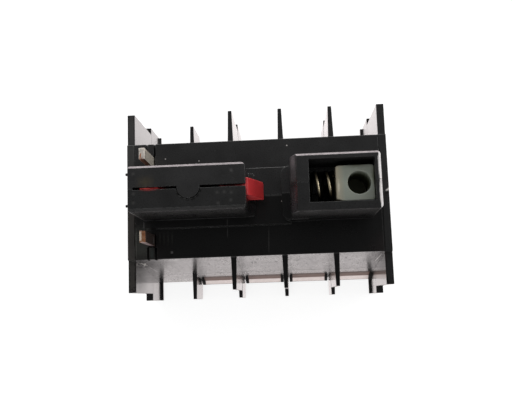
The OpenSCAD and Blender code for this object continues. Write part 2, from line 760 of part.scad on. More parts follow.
module contact_spring(i) {
    x0 = is_break(i) ? bridge_x(i) - bridge_t / 2 - spring_room : bridge_x(i) + bridge_t / 2;
    color([0.7, 0.7, 0.68]) translate([x0 + seat, 0, bridge_z])
        coil(contact_spring_r, contact_wire, spring_room - 2 * seat, 3.5, 0, 0);
}

module bridge_rivets() {
    color([0.85, 0.85, 0.83]) for (i = [1:columns - 1]) for (side = [line, load]) {
        x0 = is_break(i) ? bridge_x(i) + bridge_t / 2 : bridge_x(i) - bridge_t / 2 - rivet_t;
        translate([x0, side * contact_y, bridge_z])
            rotate([0, 90, 0]) cylinder(r = rivet_r, h = rivet_t);
    }
}

shell_line_side();
shell_load_side();
terminal_base();
coil_terminal(line);  // coil_terminal_line
coil_terminal(load);  // coil_terminal_load
fixed_contact(1, line);  // fixed_contact_1_line
fixed_contact(1, load);  // fixed_contact_1_load
fixed_contact(2, line);  // fixed_contact_2_line
fixed_contact(2, load);  // fixed_contact_2_load
fixed_contact(3, line);  // fixed_contact_3_line
fixed_contact(3, load);  // fixed_contact_3_load
fixed_contact(4, line);  // fixed_contact_4_line
fixed_contact(4, load);  // fixed_contact_4_load
fixed_contact_rivets();
terminal_screws();
wire_clamp(0, line);  // wire_clamp_coil_line
wire_clamp(0, load);  // wire_clamp_coil_load
wire_clamp(1, line);  // wire_clamp_1_line
wire_clamp(1, load);  // wire_clamp_1_load
wire_clamp(2, line);  // wire_clamp_2_line
wire_clamp(2, load);  // wire_clamp_2_load
wire_clamp(3, line);  // wire_clamp_3_line
wire_clamp(3, load);  // wire_clamp_3_load
wire_clamp(4, line);  // wire_clamp_4_line
wire_clamp(4, load);  // wire_clamp_4_load
latch_slide();
latch_spring();
coupling_slider();
coupling_spring();
contact_carrier();
contact_bridge(1);  // contact_bridge_1
contact_bridge(2);  // contact_bridge_2
contact_bridge(3);  // contact_bridge_3
contact_bridge(4);  // contact_bridge_4
contact_spring(1);  // contact_spring_1
contact_spring(2);  // contact_spring_2
contact_spring(3);  // contact_spring_3
contact_spring(4);  // contact_spring_4
bridge_rivets();
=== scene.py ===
import math

import bmesh
import bpy
from mathutils import Matrix, Vector


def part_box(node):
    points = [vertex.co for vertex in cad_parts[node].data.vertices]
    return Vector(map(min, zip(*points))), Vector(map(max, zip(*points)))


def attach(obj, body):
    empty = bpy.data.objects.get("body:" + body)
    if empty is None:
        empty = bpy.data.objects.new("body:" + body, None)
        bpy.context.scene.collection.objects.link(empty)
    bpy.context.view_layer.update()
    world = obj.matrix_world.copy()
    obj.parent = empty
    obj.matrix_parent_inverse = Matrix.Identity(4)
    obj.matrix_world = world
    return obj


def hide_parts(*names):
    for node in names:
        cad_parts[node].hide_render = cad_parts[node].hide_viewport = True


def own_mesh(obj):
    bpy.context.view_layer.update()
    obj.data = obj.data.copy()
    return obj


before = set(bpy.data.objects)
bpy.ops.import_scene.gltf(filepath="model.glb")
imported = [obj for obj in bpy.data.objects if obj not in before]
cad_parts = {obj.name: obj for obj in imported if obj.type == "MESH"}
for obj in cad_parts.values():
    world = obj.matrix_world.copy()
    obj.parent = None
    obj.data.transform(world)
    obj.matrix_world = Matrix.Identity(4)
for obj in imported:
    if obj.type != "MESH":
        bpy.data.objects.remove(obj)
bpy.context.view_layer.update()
MM = 0.001

# The studio: a white table under a pale, evenly lit surround, with one large softbox behind
# the block, a tall one on its right and a weak one in front. The block lies on its screw
# face, and the camera looks down on the mating face from a little in front.


def add(tree, kind, inputs=None, **settings):
    """New shader node, whose inputs are given as constants or as other nodes' output sockets."""
    node = tree.nodes.new("ShaderNode" + kind)
    for key, value in settings.items():
        setattr(node, key, value)
    for key, value in (inputs or {}).items():
        if isinstance(value, bpy.types.NodeSocket):
            tree.links.new(value, node.inputs[key])
        else:
            node.inputs[key].default_value = value
    return node


def ramp(tree, value, start, end, low=0.0, high=1.0):
    """Value that runs from low to high while another runs from start to end."""
    return add(tree, "MapRange", {"Value": value, "From Min": start, "From Max": end,
                                  "To Min": low, "To Max": high}).outputs[0]


def seen_directly(tree):
    """1 where a camera, glossy or transmission ray arrives, so that gloss shows the backdrop too."""
    path = add(tree, "LightPath")
    gloss = add(tree, "Math", {0: path.outputs["Is Camera Ray"], 1: path.outputs["Is Glossy Ray"]},
                operation="MAXIMUM")
    return add(tree, "Math", {0: gloss.outputs[0], 1: path.outputs["Is Transmission Ray"]},
               operation="MAXIMUM").outputs[0]


table_span = 3.0
table_drop = 0.02 * MM
bpy.ops.mesh.primitive_plane_add(size=table_span, location=(0, 0, -table_drop))
table = bpy.context.object
table.name = "table"
table_paint = bpy.data.materials.new("white table")
table_paint.use_nodes = True
tree = table_paint.node_tree
tree.nodes.clear()
matt_white = add(tree, "BsdfDiffuse", {"Color": (0.82, 0.82, 0.82, 1)})
shaded_white = add(tree, "BsdfDiffuse", {"Color": (0.5, 0.5, 0.5, 1)})
warm_gloss = add(tree, "Mix", {"Factor": add(tree, "LightPath").outputs["Is Glossy Ray"],
                               6: (1, 1, 1, 1), 7: (1, 0.93, 0.925, 1)}, data_type="RGBA")
lift = add(tree, "Emission", {"Color": warm_gloss.outputs[2], "Strength": 0.82})
lit_white = add(tree, "AddShader", {0: shaded_white.outputs[0], 1: lift.outputs[0]})
choice = add(tree, "MixShader", {0: seen_directly(tree), 1: matt_white.outputs[0],
                                 2: lit_white.outputs[0]})
add(tree, "OutputMaterial", {"Surface": choice.outputs[0]})
table.data.materials.append(table_paint)

surround = bpy.data.worlds.new("studio surround")
bpy.context.scene.world = surround
surround.use_nodes = True
tree = surround.node_tree
tree.nodes.clear()
direction = add(tree, "TexCoord")
height = add(tree, "SeparateXYZ", {0: direction.outputs["Generated"]})
ceiling = ramp(tree, height.outputs["Z"], 0.05, 0.9, 0.95, 0.2)
fall_off = ramp(tree, height.outputs["Y"], -0.8, 0.2, 0.45, 1.0)
uneven = add(tree, "Math", {0: ceiling, 1: fall_off}, operation="MULTIPLY")
path = add(tree, "LightPath")
level = add(tree, "Mix", {"Factor": path.outputs["Is Camera Ray"], 2: uneven.outputs[0], 3: 1.0},
            data_type="FLOAT")
surround_light = add(tree, "Background", {"Color": (1, 1, 1, 1), "Strength": level.outputs[0]})
add(tree, "OutputWorld", {"Surface": surround_light.outputs[0]})


def softbox(name, place, width, height, power):
    """Area lamp that faces the middle of the block."""
    data = bpy.data.lights.new(name, "AREA")
    data.shape = "RECTANGLE"
    data.size = width
    data.size_y = height
    data.energy = power
    lamp = bpy.data.objects.new(name, data)
    lamp.location = place
    lamp.rotation_euler = (Vector((0, 0, 0.015)) - Vector(place)).to_track_quat("-Z", "Y").to_euler()
    bpy.context.scene.collection.objects.link(lamp)


softbox("softbox behind", (0.02, 0.42, 0.16), 0.6, 0.26, 1.6)
softbox("softbox right", (0.42, 0.08, 0.16), 0.3, 0.26, 0.6)
softbox("softbox in front", (-0.12, -0.4, 0.3), 0.3, 0.2, 0.45)

# The camera stands 140 mm above the table and is turned by a small rotation vector.
camera_place = Vector((5.09, -17.64, 140.4)) * MM
camera_turn = Vector((-0.143, -0.048, 0.037))
camera_data = bpy.data.cameras.new("camera")
camera_data.sensor_width = 36
camera_data.lens = 48.294
camera_data.clip_start = 0.005
camera = bpy.data.objects.new("camera", camera_data)
camera.matrix_world = Matrix.Translation(camera_place) @ Matrix.Rotation(
    -camera_turn.length, 4, camera_turn)
bpy.context.scene.collection.objects.link(camera)
bpy.context.scene.camera = camera
bpy.context.scene.view_settings.view_transform = "Standard"

# The housing: two half shells and a terminal base, injection moulded in black glass-filled
# nylon. The mould left a fine sandy texture, and handling has scratched the corners and left a
# few specks of dust. The tower rims are pale partly from rubbing and partly as a painted
# highlight, and the load shell is painted darker low down, as shade.


def new_group(name, inputs, outputs):
    """Empty shader node group with its input and output nodes."""
    group = bpy.data.node_groups.new(name, "ShaderNodeTree")
    for label, kind, value in inputs:
        group.interface.new_socket(name=label, in_out="INPUT", socket_type=kind).default_value = value
    for label, kind in outputs:
        group.interface.new_socket(name=label, in_out="OUTPUT", socket_type=kind)
    return group, group.nodes.new("NodeGroupInput").outputs, group.nodes.new("NodeGroupOutput").inputs


def place_group(tree, group, inputs):
    """One copy of a node group in a material, with its own values."""
    node = tree.nodes.new("ShaderNodeGroup")
    node.node_tree = group
    for key, value in inputs.items():
        if isinstance(value, bpy.types.NodeSocket):
            tree.links.new(value, node.inputs[key])
        else:
            node.inputs[key].default_value = value
    return node.outputs


def mixed(tree, factor, first, second):
    """Colour between two others."""
    return add(tree, "Mix", {"Factor": factor, 6: first, 7: second}, data_type="RGBA").outputs[2]


def position_in(tree):
    """X, Y and Z of the surface in the part's own frame."""
    return add(tree, "SeparateXYZ", {0: add(tree, "TexCoord").outputs["Object"]}).outputs


def times(tree, first, second):
    return add(tree, "Math", {0: first, 1: second}, operation="MULTIPLY").outputs[0]


def highest(tree, *masks):
    """Largest of several masks."""
    top = masks[0]
    for mask in masks[1:]:
        top = add(tree, "Math", {0: top, 1: mask}, operation="MAXIMUM").outputs[0]
    return top


mould_grain, given, out = new_group(
    "mould grain", [("Grain Size", "NodeSocketFloat", 0.16 * MM), ("Patch Size", "NodeSocketFloat", 6 * MM),
                    ("Draw", "NodeSocketFloat", 1.0)],
    [("Height", "NodeSocketFloat"), ("Pits", "NodeSocketFloat"), ("Patches", "NodeSocketFloat")])
drawn = add(mould_grain, "CombineXYZ", {0: 1.0, 1: 1.0, 2: given["Draw"]}).outputs[0]
spot = add(mould_grain, "VectorMath", {0: add(mould_grain, "TexCoord").outputs["Object"], 1: drawn},
           operation="MULTIPLY").outputs[0]
fine = add(mould_grain, "Math", {0: 1.0, 1: given["Grain Size"]}, operation="DIVIDE").outputs[0]
wide = add(mould_grain, "Math", {0: 1.0, 1: given["Patch Size"]}, operation="DIVIDE").outputs[0]
sand = add(mould_grain, "TexNoise", {"Vector": spot, "Scale": fine, "Detail": 2.0, "Roughness": 0.6})
cloud = add(mould_grain, "TexNoise", {"Vector": spot, "Scale": wide, "Detail": 3.0, "Roughness": 0.55})
pits = ramp(mould_grain, sand.outputs[0], 0.36, 0.5, 1.0, 0.0)
mould_grain.links.new(sand.outputs[0], out["Height"])
mould_grain.links.new(pits, out["Pits"])
mould_grain.links.new(cloud.outputs[0], out["Patches"])

rubbed_edges, given, out = new_group(
    "rubbed edges", [("Width", "NodeSocketFloat", 0.15 * MM), ("Break-up", "NodeSocketFloat", 0.9 * MM)],
    [("Mask", "NodeSocketFloat"), ("Normal", "NodeSocketVector")])
rounded = add(rubbed_edges, "Bevel", {"Radius": given["Width"]}, samples=6)
flat = add(rubbed_edges, "NewGeometry").outputs["Normal"]
turned = add(rubbed_edges, "VectorMath", {0: rounded.outputs[0], 1: flat}, operation="DOT_PRODUCT")
edge = ramp(rubbed_edges, turned.outputs["Value"], 0.99, 0.8, 0.0, 1.0)
spacing = add(rubbed_edges, "Math", {0: 1.0, 1: given["Break-up"]}, operation="DIVIDE").outputs[0]
ragged = add(rubbed_edges, "TexNoise", {"Vector": add(rubbed_edges, "TexCoord").outputs["Object"],
                                        "Scale": spacing, "Detail": 4.0, "Roughness": 0.7})
bare = ramp(rubbed_edges, ragged.outputs[0], 0.42, 0.62)
rubbed_edges.links.new(times(rubbed_edges, edge, bare), out["Mask"])
rubbed_edges.links.new(rounded.outputs[0], out["Normal"])

dust_specks, given, out = new_group(
    "dust specks", [("Spacing", "NodeSocketFloat", 2.4 * MM), ("Speck Size", "NodeSocketFloat", 0.05)],
    [("Mask", "NodeSocketFloat")])
spot = add(dust_specks, "TexCoord").outputs["Object"]
spacing = add(dust_specks, "Math", {0: 1.0, 1: given["Spacing"]}, operation="DIVIDE").outputs[0]
cells = add(dust_specks, "TexVoronoi", {"Vector": spot, "Scale": spacing, "Randomness": 1.0})
speck = add(dust_specks, "Math", {0: cells.outputs["Distance"], 1: given["Speck Size"]},
            operation="LESS_THAN")
kept = add(dust_specks, "SeparateColor", {0: cells.outputs["Color"]})
some = add(dust_specks, "Math", {0: kept.outputs[0], 1: 0.55}, operation="GREATER_THAN")
dust_specks.links.new(times(dust_specks, speck.outputs[0], some.outputs[0]), out["Mask"])

scuff_mark, given, out = new_group(
    "scuff mark", [("Middle", "NodeSocketVector", (0, 0, 0)), ("Along", "NodeSocketVector", (1, 0, 0)),
                   ("Length", "NodeSocketFloat", 1 * MM), ("Width", "NodeSocketFloat", 0.2 * MM),
                   ("Core", "NodeSocketFloat", 0.6)],
    [("Mask", "NodeSocketFloat")])
spot = add(scuff_mark, "TexCoord").outputs["Object"]
offset = add(scuff_mark, "VectorMath", {0: spot, 1: given["Middle"]}, operation="SUBTRACT").outputs[0]
heading = add(scuff_mark, "VectorMath", {0: given["Along"]}, operation="NORMALIZE").outputs[0]
forward = add(scuff_mark, "VectorMath", {0: offset, 1: heading}, operation="DOT_PRODUCT").outputs["Value"]
shadow = add(scuff_mark, "VectorMath", {0: heading, "Scale": forward}, operation="SCALE").outputs[0]
aside = add(scuff_mark, "VectorMath", {0: offset, 1: shadow}, operation="SUBTRACT").outputs[0]
across = add(scuff_mark, "VectorMath", {0: aside}, operation="LENGTH").outputs["Value"]
frayed = add(scuff_mark, "TexNoise", {"Vector": spot, "Scale": 2500.0, "Detail": 3.0})
fray = add(scuff_mark, "Math", {0: frayed.outputs[0], 1: 0.8, 2: 0.6}, operation="MULTIPLY_ADD")
reach = times(scuff_mark, times(scuff_mark, given["Length"], 0.5), fray.outputs[0])
breadth = times(scuff_mark, times(scuff_mark, given["Width"], 0.5), fray.outputs[0])
run = add(scuff_mark, "Math", {0: forward}, operation="ABSOLUTE").outputs[0]
run_share = add(scuff_mark, "Math", {0: run, 1: reach}, operation="DIVIDE").outputs[0]
width_share = add(scuff_mark, "Math", {0: across, 1: breadth}, operation="DIVIDE").outputs[0]
faded = [ramp(scuff_mark, share, given["Core"], 1.0, 1.0, 0.0)
         for share in (run_share, width_share)]
scuff_mark.links.new(times(scuff_mark, *faded), out["Mask"])


def stroke(start, end, width, colour, core=0.5):
    """Mark between two points in millimetres, sharp where core is near 1 and soft near 0."""
    start, end = Vector(start), Vector(end)
    return (start + end) / 2 * MM, end - start, (end - start).length * MM, width * MM, colour, core


def dot(place, width, colour, core=0.5):
    half = Vector((width / 2, 0, 0))
    return stroke(Vector(place) - half, Vector(place) + half, width, colour, core)


def marked(tree, colour, strokes):
    """Colour with all strokes over it, and the mask of the dark ones, which also dull the surface."""
    cover = 0.0
    for middle, along, length, width, paint, core in strokes:
        mask = place_group(tree, scuff_mark, {"Middle": middle, "Along": along, "Length": length,
                                              "Width": width, "Core": core})["Mask"]
        colour = mixed(tree, mask, colour, (*paint, 1))
        if max(paint) < 0.05:
            cover = highest(tree, mask, cover)
    return colour, cover


def new_material(name):
    """Material with an empty node tree, its Principled shader and its output."""
    made = bpy.data.materials.new(name)
    made.use_nodes = True
    made.node_tree.nodes.clear()
    shader = made.node_tree.nodes.new("ShaderNodeBsdfPrincipled")
    add(made.node_tree, "OutputMaterial", {"Surface": shader.outputs[0]})
    return made, made.node_tree, shader.inputs


polished_sides, given, out = new_group(
    "polished sides", [("Steepness", "NodeSocketFloat", 0.93), ("Top", "NodeSocketFloat", 23.98 * MM)],
    [("Fins", "NodeSocketFloat"), ("Walls", "NodeSocketFloat")])
facing = add(polished_sides, "SeparateXYZ", {0: add(polished_sides, "NewGeometry").outputs["Normal"]})
position = position_in(polished_sides)
beneath = add(polished_sides, "Math", {0: position["Z"], 1: given["Top"]}, operation="LESS_THAN")
for part, label in (("X", "Fins"), ("Y", "Walls")):
    sideways = add(polished_sides, "Math", {0: facing.outputs[part]}, operation="ABSOLUTE").outputs[0]
    plain = add(polished_sides, "Math", {0: sideways, 1: given["Steepness"]}, operation="GREATER_THAN")
    polished_sides.links.new(times(polished_sides, plain.outputs[0], beneath.outputs[0]), out[label])

# Rims on the outer edge that face a given way: pale partly from rubbing and partly as a painted highlight.
rim_wear_and_highlight, given, out = new_group(
    "rim wear and highlight", [("Toward", "NodeSocketVector", (0, 0.7, 0.7)), ("Beyond", "NodeSocketFloat", 28 * MM)],
    [("Mask", "NodeSocketFloat")])
facing = add(rim_wear_and_highlight, "NewGeometry").outputs["Normal"]
leaning = add(rim_wear_and_highlight, "VectorMath", {0: facing, 1: given["Toward"]}, operation="DOT_PRODUCT")
band = ramp(rim_wear_and_highlight, leaning.outputs["Value"], 0.86, 0.95)
outer = add(rim_wear_and_highlight, "VectorMath",
            {0: add(rim_wear_and_highlight, "TexCoord").outputs["Object"], 1: given["Toward"]}, operation="DOT_PRODUCT")
outmost = add(rim_wear_and_highlight, "Math", {0: outer.outputs["Value"], 1: given["Beyond"]}, operation="GREATER_THAN")
streaks = add(rim_wear_and_highlight, "TexNoise", {"Vector": add(rim_wear_and_highlight, "TexCoord").outputs["Object"],
                                       "Scale": 700.0, "Detail": 4.0, "Roughness": 0.7})
uneven = ramp(rim_wear_and_highlight, streaks.outputs[0], 0.3, 0.6, 0.55, 1.0)
rim_wear_and_highlight.links.new(times(rim_wear_and_highlight, times(rim_wear_and_highlight, band, outmost.outputs[0]),
                           uneven), out["Mask"])


def black_moulding(name, dark, low_painted_shade, sheen, specular, dust_spacing, strokes):
    """Black nylon: sandy texture, rubbed edges, dust, painted shade low down, pale rims that are partly a
    painted highlight, and the marks listed for this piece.
    """
    made, tree, shader = new_material(name)
    grain = place_group(tree, mould_grain, {"Grain Size": 0.24 * MM, "Patch Size": 4 * MM})
    rub = place_group(tree, rubbed_edges, {"Width": 0.16 * MM, "Break-up": 1.1 * MM})
    back_rim_wear_and_highlight = place_group(tree, rim_wear_and_highlight, {"Toward": (0, 0.707, 0.707), "Beyond": 28.0 * MM})["Mask"]
    end_rim_wear_and_highlight = place_group(tree, rim_wear_and_highlight, {"Toward": (0.707, 0, 0.707), "Beyond": 39.2 * MM})["Mask"]
    polished = place_group(tree, polished_sides, {"Steepness": 0.93})
    dust = place_group(tree, dust_specks, {"Spacing": dust_spacing, "Speck Size": 0.03})["Mask"]
    height = position_in(tree)["Z"]
    # Painted shade: below the tower tops the nylon is darkened by the given factor, except on the fins.
    raised = ramp(tree, height, 26 * MM, 35 * MM)
    shades = [mixed(tree, grain["Patches"], (*[c * tone * 0.5 for c in dark], 1),
                    (*[c * tone * 1.5 for c in dark], 1)) for tone in (low_painted_shade, 1)]
    nylon = mixed(tree, highest(tree, raised, polished["Fins"]), *shades)
    pitted = mixed(tree, times(tree, grain["Pits"], 0.6), nylon, (0.003, 0.003, 0.003, 1))
    edged = mixed(tree, times(tree, rub["Mask"], 0.3), pitted, (0.08, 0.076, 0.077, 1))
    # Back and end rims painted pale, partly as rubbed wear and partly as a painted highlight.
    back_rim_worn_and_lit = mixed(tree, back_rim_wear_and_highlight, edged, (0.36, 0.315, 0.325, 1))
    worn = mixed(tree, end_rim_wear_and_highlight, back_rim_worn_and_lit, (0.86, 0.83, 0.82, 1))
    dusty = mixed(tree, dust, worn, (0.16, 0.155, 0.15, 1))
    drag = place_group(tree, mould_grain, {"Grain Size": 0.24 * MM, "Draw": 0.3})
    speckle = ramp(tree, drag["Height"], 0.4, 0.49, 0.4, 0.95)
    sandy = mixed(tree, speckle, (0.004, 0.004, 0.004, 1), (0.03, 0.026, 0.027, 1))
    painted, cover = marked(tree, mixed(tree, polished["Walls"], dusty, sandy), strokes)
    tree.links.new(painted, shader["Base Color"])
    dull = ramp(tree, grain["Patches"], 0.3, 0.7, sheen - 0.05, sheen + 0.07)
    speckled = highest(tree, dull, times(tree, rub["Mask"], 0.6),
                       times(tree, grain["Pits"], 0.8))
    gloss = add(tree, "Mix", {"Factor": polished["Fins"], 2: speckled, 3: 0.14}, data_type="FLOAT")
    tree.links.new(gloss.outputs[0], shader["Roughness"])
    plain = highest(tree, polished["Fins"], polished["Walls"])
    depth = add(tree, "Mix", {"Factor": plain, 2: grain["Height"], 3: 0.5}, data_type="FLOAT")
    texture = add(tree, "Bump", {"Height": depth.outputs[0], "Normal": rub["Normal"], "Strength": 0.4,
                                 "Distance": 0.04 * MM})
    tree.links.new(texture.outputs[0], shader["Normal"])
    smooth = highest(tree, polished["Fins"], times(tree, polished["Walls"], speckle))
    clean = add(tree, "Math", {0: 1.0, 1: cover}, operation="SUBTRACT").outputs[0]
    tree.links.new(times(tree, smooth, clean), shader["Coat Weight"])
    shader["Coat Roughness"].default_value = 0.21
    shader["Coat IOR"].default_value = 1.6
    shader["Specular IOR Level"].default_value = specular
    return made


def finish_node(name, material, edge_width=0.0):
    """Gives a solid its material and, by modifiers alone, small rounded edges."""
    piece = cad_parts[name]
    piece.data.materials.clear()
    piece.data.materials.append(material)
    for face in piece.data.polygons:
        face.material_index = 0
        face.use_smooth = True
    weld = piece.modifiers.new("weld", "WELD")
    weld.merge_threshold = 0.001 * MM
    join = piece.modifiers.new("join flat faces", "DECIMATE")
    join.decimate_type = "DISSOLVE"
    join.angle_limit = math.radians(0.5)
    if edge_width:
        soften = piece.modifiers.new("soft edges", "BEVEL")
        soften.width = edge_width
        soften.segments = 2
        soften.limit_method = "ANGLE"
        soften.angle_limit = math.radians(35)
        soften.use_clamp_overlap = False
        soften.harden_normals = False
    shade = piece.modifiers.new("even shading", "WEIGHTED_NORMAL")
    shade.keep_sharp = True
    return piece


moulded_edge = 0.06 * MM
pale = (0.62, 0.59, 0.57)
greyish = (0.1, 0.097, 0.098)
faint = (0.04, 0.039, 0.038)
pitch_black = (0.0012, 0.0012, 0.0012)
stain_brown = (0.042, 0.034, 0.021)
left_guide, right_guide = -18.975, -17.625
# Points along the lug's lower edge, for a painted shadow in the gap under it.
lug_edge = [(-11.75, -0.54), (-11.32, -1.14), (-10.56, -1.61), (-9.79, -1.73), (-9.01, -1.45),
            (-8.45, -0.84), (-8.25, -0.22)]
line_marks = [
    stroke((-21.85, 0.2, 24), (-21.85, 16, 24), 1.4, (0.036, 0.035, 0.034), 0.9),
    dot((-15.74, 7.35, 24), 0.2, pale), dot((-9.89, 6.74, 24), 0.2, pale),
    dot((5.43, 8.82, 24), 0.24, pale),
    # Painted highlight along the raised plateau's +Y edge.
    stroke((-1.4, 4.9, 25), (5.4, 4.9, 25), 0.2, greyish),
    stroke((-1.1, 3.6, 25), (-0.25, 3.58, 25), 0.2, (0.3, 0.29, 0.28)),
    # Painted highlight where the plateau edge meets the coupling tower's flare.
    stroke((4.7, 4.93, 25), (5.6, 5.1, 25), 0.3, (0.4, 0.38, 0.37)),
    stroke((21.9, 0.15, 23.9), (22.7, 0.7, 23.9), 0.5, pale),
    stroke((-18.4, 0.9, 36.6), (-15.0, 1.3, 36.6), 2.6, stain_brown, 0.0),
    dot((-18.6, 2.49, 36.6), 0.7, (0.05, 0.049, 0.048), 0.0),
    dot((-3.34, 2.47, 36.6), 0.8, (0.055, 0.054, 0.053), 0.0),
    # Painted shade deep in the blade guide grooves.
    stroke((left_guide, 7.9, 23.6), (left_guide, 10.3, 23.6), 0.75, pitch_black, 0.9),
    stroke((right_guide, 7.9, 23.6), (right_guide, 10.3, 23.6), 0.75, pitch_black, 0.9),
    # Painted light: the inside of the coupling opening's right wall is lightened grey.
    stroke((18.75, 0.2, 35.9), (18.75, 3.7, 35.9), 1.2, (0.05, 0.05, 0.048), 0.3),
    # Pale right rim of the coupling tower: wear and a painted highlight.
    stroke((19.35, 0.1, 36.6), (19.35, 4.3, 36.6), 0.4, (0.7, 0.67, 0.66), 0.4),
    # Painted light and shade on the coupling tower's left bevel: lighter towards +Y.
    stroke((6.1, 0.2, 35.2), (6.1, 4.6, 35.2), 2.8, (0.06, 0.054, 0.056), 0.6),
    stroke((6.1, 2.2, 35.2), (6.1, 5.2, 35.2), 2.8, (0.15, 0.13, 0.137), 0.2),
]
load_marks = [
    stroke((-21.8, -8.8, 33), (-21.8, -11.5, 13), 15.0, (0.008, 0.006, 0.006), 0.3),
    stroke((21.6, -9.0, 33), (21.6, -11.3, 13), 8.0, (0.012, 0.009, 0.009), 0.1),
    stroke((-21.85, 0.1, 24), (-21.85, -16, 24), 1.4, (0.044, 0.04, 0.037), 0.9),
    stroke((-20.0, -3.6, 24), (-20.0, -10.9, 24), 4.4, (0.036, 0.037, 0.033), 0.3),
    stroke((-18.3, -7.8, 24), (-18.3, -10.2, 24), 0.9, (0.026, 0.03, 0.028), 0.4),
    # Painted shade deep in the blade guide grooves.
    stroke((left_guide, -7.9, 23.6), (left_guide, -10.3, 23.6), 0.75, pitch_black, 0.9),
    stroke((right_guide, -7.9, 23.6), (right_guide, -10.3, 23.6), 0.75, pitch_black, 0.9),
    *[stroke((x, -5.1, 24), (x, -7.9, 24), 0.3, (0.02, 0.021, 0.018), 0.2)
      for x in (-16.9, -16.2, -15.5, -14.8)],
    dot((4.22, -1.03, 25), 0.24, (0.85, 0.83, 0.8)), dot((4.4, 1.3, 25), 0.3, faint),
    dot((-14.86, -8.97, 24), 0.5, greyish), dot((-14.9, -9.5, 24), 0.7, pitch_black),
    stroke((0.9, -0.05, 25), (4.8, -0.05, 25), 0.16, faint),
    stroke((-5.12, -3.5, 25), (-5.2, -4.9, 25), 0.16, faint),
    stroke((-5.22, -4.9, 24), (-5.31, -7.0, 24), 0.16, faint),
    stroke((1.82, -5.0, 24), (1.65, -10.0, 24), 0.16, faint),
    stroke((-21.1, -4.0, 24), (-21.1, -10.0, 24), 0.26, (0.1, 0.1, 0.09)),
    stroke((-20.95, -10.42, 21.3), (-20.15, -10.78, 18.6), 0.45, (0.95, 0.9, 0.85)),
    stroke((-20.1, -10.46, 21.0), (-20.95, -10.86, 18.0), 0.4, (0.95, 0.9, 0.85)),
    stroke((-20.3, -10.8, 18.5), (-19.6, -11.7, 11.8), 0.14, (0.5, 0.47, 0.45)),
    stroke((20.95, -10.28, 22.3), (20.4, -11.4, 14.0), 0.18, (0.8, 0.76, 0.72)),
    *[stroke((x, -10.75, 18.8), (x, -10.9, 17.6), 0.36, pitch_black)
      for x in (-9.25, -1.57, -0.9, 2.71, 6.42)],
    # Painted highlights down the towers' front vertical corners and along the plateau's left edge.
    stroke((-19.5, -3.45, 36.5), (-19.5, -3.45, 25.0), 0.8, (0.13, 0.125, 0.12)),
    stroke((-19.5, -3.5, 25), (-19.5, -4.9, 25), 0.3, greyish),
    stroke((19.6, -4.25, 33), (19.6, -4.25, 25), 0.6, (0.12, 0.115, 0.11)),
    stroke((22.3, -6.5, 24), (22.6, -7.3, 24), 0.4, greyish),
    *[dot((x, y, 36.6), 0.75, (0.046, 0.045, 0.044), 0.0)
      for x, y in ((-18.6, -0.65), (-18.6, -2.05), (-5.5, -2.6), (-3.5, -2.2), (-5.6, -0.9), (-4.5, -0.9),
                   (-3.4, -1.0))],
    # Pale right rim of the coupling tower: wear and a painted highlight.
    stroke((19.35, 0.2, 36.6), (19.35, -4.0, 36.6), 0.4, (0.7, 0.67, 0.66), 0.4),
    # Painted light: the inside of the coupling opening's right wall is lightened grey.
    stroke((18.75, 0.1, 35.9), (18.75, -3.0, 35.9), 1.2, (0.05, 0.05, 0.048), 0.3),
    stroke((21.85, 0.1, 24), (21.85, -16, 24), 1.4, (0.016, 0.016, 0.016), 0.9),
    # Painted shade on the coupling tower's left bevel, darker towards −Y.
    stroke((6.1, 0.2, 35.2), (6.1, -4.6, 35.2), 2.8, (0.036, 0.031, 0.033), 0.6),
    # Painted glint: red from the latch painted on the edge of its slit.
    stroke((-17.84, 0.04, 36.6), (-14.41, 0.02, 36.6), 0.7, (0.3, 0.025, 0.025), 0.0),
    # Painted shadow in the gap under the lug.
    *[stroke((*start, 36.6), (*end, 36.6), 0.9, pitch_black) for start, end in zip(lug_edge, lug_edge[1:])],
]
line_black = black_moulding("black nylon line side", dark=(0.0165, 0.0162, 0.0166), low_painted_shade=1.0,
                            sheen=0.33, specular=0.5, dust_spacing=1.7 * MM, strokes=line_marks)
load_black = black_moulding("black nylon load side", dark=(0.018, 0.018, 0.0182), low_painted_shade=0.2,
                            sheen=0.3, specular=0.3, dust_spacing=3.4 * MM, strokes=load_marks)
base_black = black_moulding("black nylon base", dark=(0.009, 0.009, 0.009), low_painted_shade=1.0,
                            sheen=0.26, specular=0.5, dust_spacing=3 * MM, strokes=[])
finish_node("shell_line_side", line_black, moulded_edge)
finish_node("shell_load_side", load_black, moulded_edge)
finish_node("terminal_base", base_black, moulded_edge)

# The coil terminals: blades stamped from copper strip and tin plated, with bare copper on
# the sheared edges of the line side blade, while the load side blade's sheared edges carry a
# painted pinkish highlight. They plug into the contactor's coil, so the tin is smeared and tarnished.

plated_strip, given, out = new_group(
    "plated strip", [("Plating", "NodeSocketFloat", 0.5), ("Patch Size", "NodeSocketFloat", 0.7 * MM)],
    [("Bare", "NodeSocketFloat"), ("Stain", "NodeSocketFloat"), ("Drag", "NodeSocketFloat")])
spot = add(plated_strip, "TexCoord").outputs["Object"]
patch = add(plated_strip, "Math", {0: 1.0, 1: given["Patch Size"]}, operation="DIVIDE").outputs[0]
blotch = add(plated_strip, "TexNoise", {"Vector": spot, "Scale": patch, "Detail": 4.0, "Roughness": 0.65})
limit = add(plated_strip, "Math", {0: given["Plating"], 1: 0.12}, operation="ADD").outputs[0]
bare = ramp(plated_strip, blotch.outputs[0], given["Plating"], limit)
stretched = add(plated_strip, "VectorMath", {0: spot, 1: (1.0, 1.0, 0.12)}, operation="MULTIPLY").outputs[0]
streak = add(plated_strip, "TexNoise", {"Vector": stretched, "Scale": 5200.0, "Detail": 2.0})
stain = add(plated_strip, "TexNoise", {"Vector": spot, "Scale": 2300.0, "Detail": 5.0, "Roughness": 0.75})
spots = ramp(plated_strip, stain.outputs[0], 0.53, 0.66)
plated_strip.links.new(bare, out["Bare"])
